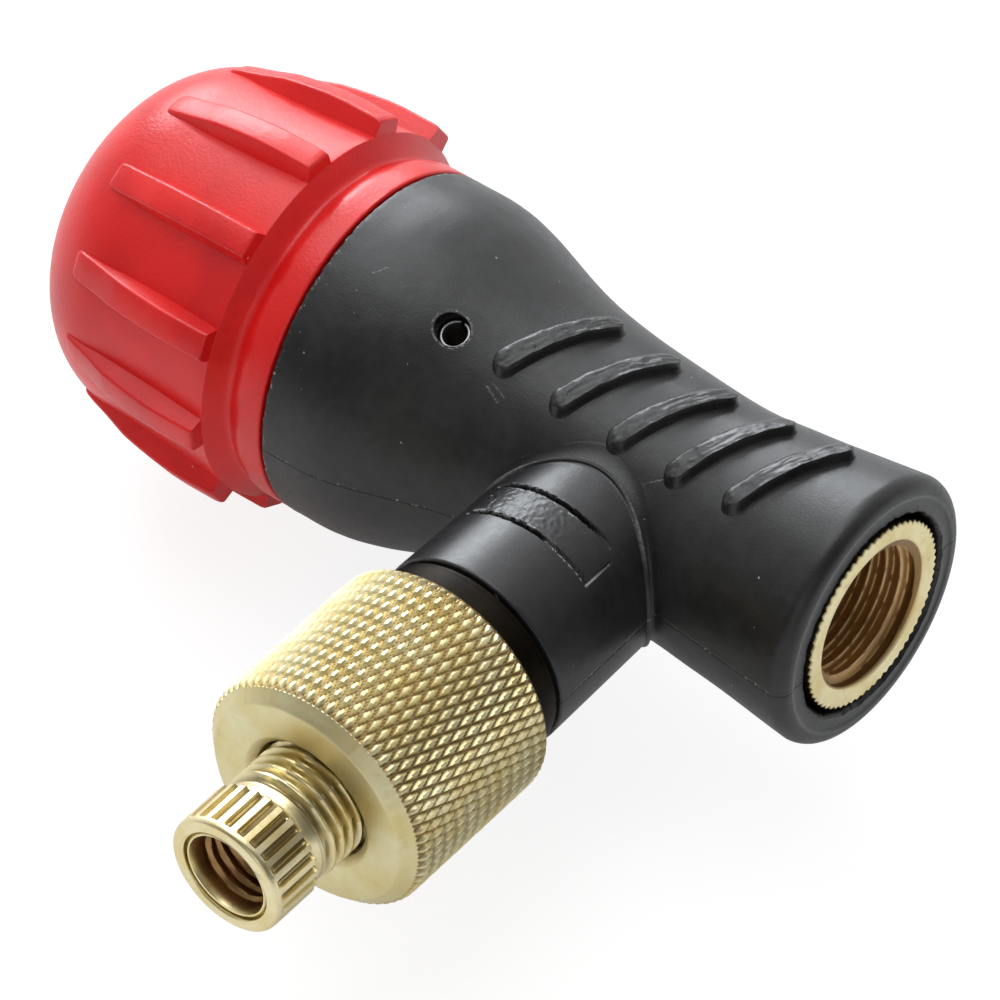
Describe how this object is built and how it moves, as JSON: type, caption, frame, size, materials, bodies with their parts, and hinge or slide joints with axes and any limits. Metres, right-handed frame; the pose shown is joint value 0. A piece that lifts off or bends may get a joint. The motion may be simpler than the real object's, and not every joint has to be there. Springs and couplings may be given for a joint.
{
  "type": "bicycle tyre inflator head",
  "caption": "Twist-knob inflator head that screws onto a gas cartridge and feeds a bicycle tyre valve through a knurled side chuck with a screw-in adapter.",
  "frame": {"origin": "centre of the footprint at the height of the lowest knob rib", "axes": "+X out of the cartridge mouth along the main axis, -Y out of the chuck along the valve axis, +Z towards the side with the grip ridges"},
  "size_m": [0.0584, 0.0522, 0.0265],
  "materials": {
    "black_nylon": "satin moulded nylon",
    "red_plastic": "satin gloss",
    "brass": "machined",
    "steel": "ground",
    "rubber": "matte",
    "white_polymer": "natural"
  },
  "bodies": {
    "body": {"body_housing": "black_nylon", "cartridge_insert": "brass", "cartridge_seal": "rubber", "piercing_pin": "steel", "core_seal": "rubber", "valve_block": "brass", "valve_seat": "white_polymer", "thrust_washer": "white_polymer", "retaining_pin": "steel", "side_nipple": "brass", "port_seal": "rubber", "nut_snap_ring": "steel", "chuck_seal": "rubber", "valve_depressor": "brass"},
    "knob": {"knob_shell": "red_plastic", "knob_hub": "brass", "hub_dust_seal": "rubber"},
    "stem": {"valve_stem": "steel", "stem_tip_seal": "rubber", "stem_ring_front": "rubber", "stem_ring_rear": "rubber"},
    "chuck": {"chuck_nut": "brass"},
    "adapter_ring": {"adapter_seal": "rubber"},
    "adapter": {"presta_adapter": "brass"}
  },
  "joints": [
    {"name": "knob_turn", "type": "hinge", "parent": "body", "child": "knob", "pos_m": [-0.01, 0.0129, 0.01325], "axis": [-1, 0, 0], "range_deg": [0, 360]},
    {"name": "stem_lift", "type": "slide", "parent": "knob", "child": "stem", "axis": [-1, 0, 0], "range_m": [0, 0.0008]},
    {"name": "chuck_spin", "type": "hinge", "parent": "body", "child": "chuck", "pos_m": [0.01264, -0.0126, 0.01325], "axis": [0, -1, 0], "continuous": true},
    {"name": "adapter_lift", "type": "slide", "parent": "chuck", "child": "adapter_ring", "axis": [0, -1, 0], "range_m": [0, 0.00556]},
    {"name": "adapter_turn", "type": "hinge", "parent": "adapter_ring", "child": "adapter", "pos_m": [0.01264, -0.0226, 0.01325], "axis": [0, -1, 0], "range_deg": [0, 2520]}
  ],
  "couplings": [
    {"joint": "knob_turn", "follows": "stem_lift", "rad_per_m": 7854},
    {"joint": "adapter_turn", "follows": "adapter_lift", "rad_per_m": 7913.3}
  ]
}
